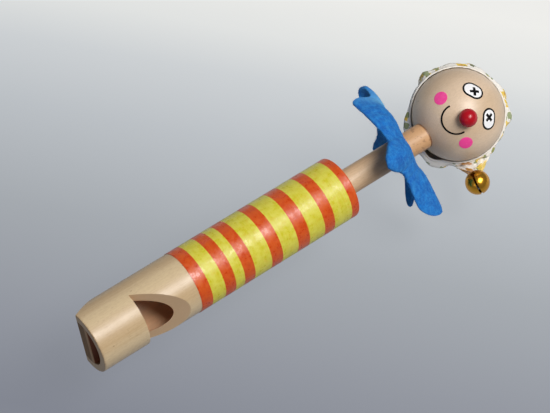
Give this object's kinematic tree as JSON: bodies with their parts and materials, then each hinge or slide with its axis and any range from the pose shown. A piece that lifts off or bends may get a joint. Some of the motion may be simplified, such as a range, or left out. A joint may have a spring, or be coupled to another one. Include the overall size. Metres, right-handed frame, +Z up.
{
  "type": "toy slide whistle",
  "caption": "Wooden slide whistle with a painted barrel, a fipple mouthpiece and a plunger that ends in a clown's head with a felt collar, a cotton hood and a small round bell.",
  "frame": {"origin": "centre of the mouthpiece's end face, on the barrel's axis", "axes": "+X along the barrel from the mouthpiece to the head, +Z up as the whistle lies, the window faces -Y"},
  "size_m": [0.1889, 0.0511, 0.0415],
  "materials": {
    "barrel_wood": "bare turned wood, lightly sanded",
    "yellow_lacquer": "satin paint, brushed on",
    "orange_lacquer": "satin paint, brushed on",
    "bush_wood": "bare turned wood",
    "white_felt": "dense wool felt",
    "rod_wood": "bare dowel",
    "blue_felt": "wool felt, cut edges",
    "ball_wood": "bare turned wood, fine sanded",
    "red_gloss": "thick glossy lacquer",
    "pink_ink": "printed paint, soft edge",
    "white_ink": "printed paint",
    "black_ink": "printed paint",
    "hood_cotton": "thin printed cotton, yellow and green flowers on white",
    "thread": "sewing thread",
    "bell_brass": "polished",
    "pellet_steel": "plain steel ball"
  },
  "bodies": {
    "barrel": {"barrel": "barrel_wood", "yellow_bands": "yellow_lacquer", "orange_bands": "orange_lacquer", "fipple_block": "barrel_wood", "guide_bush": "bush_wood"},
    "piston_seal": {"piston_felt": "white_felt"},
    "plunger": {"piston": "bush_wood", "plunger_rod": "rod_wood", "collar": "blue_felt", "head_ball": "ball_wood", "nose_bead": "red_gloss", "cheek_dots": "pink_ink", "eye_whites": "white_ink", "eye_ink": "black_ink", "smile_line": "black_ink", "hood": "hood_cotton", "bell_thread": "thread"},
    "bell": {"bell_loop": "bell_brass", "bell_upper_shell": "bell_brass", "bell_lower_shell": "bell_brass"},
    "pellet": {"bell_pellet": "pellet_steel"}
  },
  "joints": [
    {"name": "plunger_slide", "type": "slide", "parent": "barrel", "child": "piston_seal", "axis": [1, 0, 0], "range_m": [-0.022, 0.028]},
    {"name": "plunger_spin", "type": "hinge", "parent": "piston_seal", "child": "plunger", "pos_m": [0.0675, 0, 0], "axis": [1, 0, 0], "continuous": true},
    {"name": "bell_swing", "type": "hinge", "parent": "plunger", "child": "bell", "pos_m": [0.16453, -0.01798, -0.015], "axis": [0.7975, -0.6033, 0], "range_deg": [-35, 45]},
    {"name": "pellet_rattle", "type": "slide", "parent": "bell", "child": "pellet", "axis": [0, 0, 1], "range_m": [0, 0.0056]}
  ]
}
